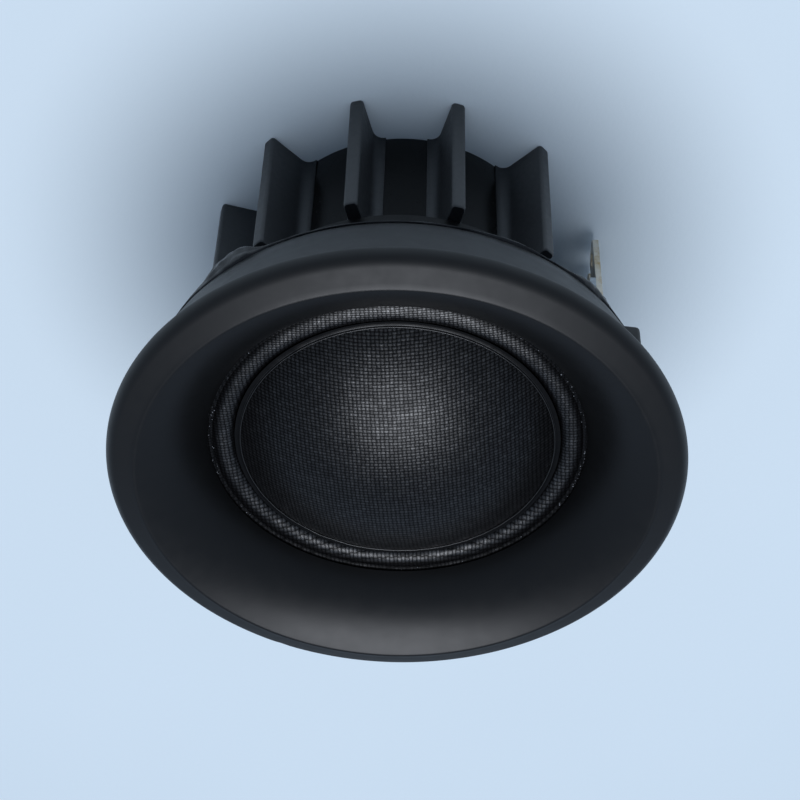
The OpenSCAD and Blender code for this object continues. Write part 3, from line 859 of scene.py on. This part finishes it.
def round_the_axis(seed_piece, name, count, first, left_out, material):
    """Geometry nodes: copies the piece to even places round the axis, leaving one out, as one plain mesh."""
    tree = bpy.data.node_groups.new(name + "_places", "GeometryNodeTree")
    tree.interface.new_socket("Geometry", in_out="INPUT", socket_type="NodeSocketGeometry")
    inputs = {"Count": "NodeSocketInt", "First": "NodeSocketFloat", "Left Out": "NodeSocketInt",
              "Material": "NodeSocketMaterial"}
    for label, kind in inputs.items():
        tree.interface.new_socket(label, in_out="INPUT", socket_type=kind)
    tree.interface.new_socket("Geometry", in_out="OUTPUT", socket_type="NodeSocketGeometry")
    start = add(tree, "NodeGroupInput")
    index = add(tree, "GeometryNodeInputIndex").outputs[0]
    places = add(tree, "GeometryNodePoints", {"Count": start.outputs["Count"]}).outputs[0]
    links = {"Geometry": places, "Name": "place", stored_whole: index}
    numbered = add(tree, "GeometryNodeStoreNamedAttribute", links, data_type="INT").outputs[0]
    links = {whole_pair[0]: index, whole_pair[1]: start.outputs["Left Out"]}
    gap = add(tree, "FunctionNodeCompare", links, data_type="INT", operation="EQUAL").outputs[0]
    kept = add(tree, "GeometryNodeDeleteGeometry", {"Geometry": numbered, "Selection": gap}).outputs[0]
    which = add(tree, "GeometryNodeInputNamedAttribute", {"Name": "place"}, data_type="INT").outputs[0]
    step = calc(tree, "DIVIDE", math.tau, start.outputs["Count"])
    angle = calc(tree, "ADD", calc(tree, "MULTIPLY", which, step), start.outputs["First"])
    turned_by = add(tree, "ShaderNodeCombineXYZ", {"Z": calc(tree, "MULTIPLY", angle, -1.0)}).outputs[0]
    links = {"Points": kept, "Instance": start.outputs["Geometry"], "Rotation": turned_by}
    copies = add(tree, "GeometryNodeInstanceOnPoints", links).outputs[0]
    real = add(tree, "GeometryNodeRealizeInstances", {"Geometry": copies}).outputs[0]
    links = {"Geometry": real, "Material": start.outputs["Material"]}
    coloured = add(tree, "GeometryNodeSetMaterial", links)
    end = add(tree, "NodeGroupOutput")
    tree.links.new(coloured.outputs[0], end.inputs[0])
    modifier = seed_piece.modifiers.new("places", "NODES")
    modifier.node_group = tree
    sockets = {s.name: s.identifier for s in tree.interface.items_tree if s.in_out == "INPUT"}
    values = {"Count": count, "First": math.radians(first), "Left Out": left_out, "Material": material}
    for label, value in values.items():
        modifier[sockets[label]] = value
    seen = bpy.context.evaluated_depsgraph_get()
    mesh = bpy.data.meshes.new_from_object(seed_piece.evaluated_get(seen))
    bpy.data.objects.remove(seed_piece)
    return finish_mesh(name, mesh, material)


def one_fin():
    """A cast rib towards -Y: rounded tip and ends, and a flared root that runs into the core."""
    tip, root = 0.3 * MM, 0.9 * MM
    sunk, overlap = 0.35 * MM, 0.02 * MM
    side = [(fin_t / 2 + root, core_r - sunk)]
    side += [(fin_t / 2 + root * (1 - math.sin(a)), core_r + root * (1 - math.cos(a)) - overlap)
             for a in [math.pi / 2 * k / 7 for k in range(8)]]
    corner = [(fin_t / 2 - tip + tip * math.cos(a), fin_r - tip + tip * math.sin(a))
              for a in [math.pi / 2 * k / 5 for k in range(6)]]
    half = side + corner
    outline = half + [(-x, r) for x, r in reversed(half)]
    work = bmesh.new()
    ends, turn = 0.25 * MM, 0.08 * MM
    least, most = -0.03 * MM, -0.09 * MM
    layers = [(0, most), (turn, least), (ends, 0), (sink_len * 0.35, 0), (sink_len * 0.7, 0)]
    layers += [(sink_len - ends, 0), (sink_len - turn, least), (sink_len, most)]
    rings = []
    for z, inset in layers:
        ring = []
        for x, r in outline:
            thin = 1 + 2 * inset / fin_t if r > core_r + root else 1
            short = inset if r > core_r + root else 0
            ring.append(work.verts.new((x * thin, -(r + short), z)))
        rings.append(ring)
    for lower, upper in zip(rings, rings[1:]):
        for k in range(len(outline)):
            n = (k + 1) % len(outline)
            work.faces.new((lower[k], lower[n], upper[n], upper[k]))
    work.faces.new(rings[0])
    work.faces.new(rings[-1])
    return finish_mesh("one_fin", mesh_from(work, "one_fin"), anodised)


def heat_sink():
    """A turned core with the screw's seat in its rear, and a fin on every place but the board's."""
    step = 360 / fin_places
    fins = round_the_axis(one_fin(), "sink_fins", fin_places, step / 2, board_place, anodised)
    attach(fins, "housing")
    bore, edge, corner = 1.6 * MM, 0.2 * MM, 0.06 * MM
    head, head_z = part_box("centre_screw")[1].x + 0.05 * MM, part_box("centre_screw")[0].z
    outline = [(bore, head_z + head - bore), (head, head_z), (head, 0), (core_r - edge, 0)]
    outline += [(core_r - corner, corner), (core_r, edge)]
    outline += [(core_r, sink_len * 0.33), (core_r, sink_len * 0.67), (core_r, sink_len - edge)]
    outline += [(core_r - corner, sink_len - corner), (core_r - edge, sink_len), (bore, sink_len)]
    # The core takes the darker copy of the anodising, which holds painted shade.
    core = finish_mesh("sink_core", turned("sink_core", outline, 180), core_painted_shade)
    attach(core, "housing")
    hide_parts("heat_sink")


heat_sink()


# ---------------------------------------------------------------- carried-over nodes

finishes = {
    "chassis": nylon, "pot": dipped, "body_screws": black_steel, "centre_screw": black_steel,
    "terminal_board": board_painted_glare, "terminal_tabs": brass, "tab_rivets": brass, "solder_joints": solder,
    "lead_wires": copper, "voice_coil": copper, "coil_former": amber_film, "shorting_cap": copper,
    "pole_plate": zinc, "magnet": nickel, "ferrofluid": oil, "gasket": foam,
    "surround_ring": grey_moulding, "thermal_pad": silicone,
}
for node, material in finishes.items():
    dress(node, material)
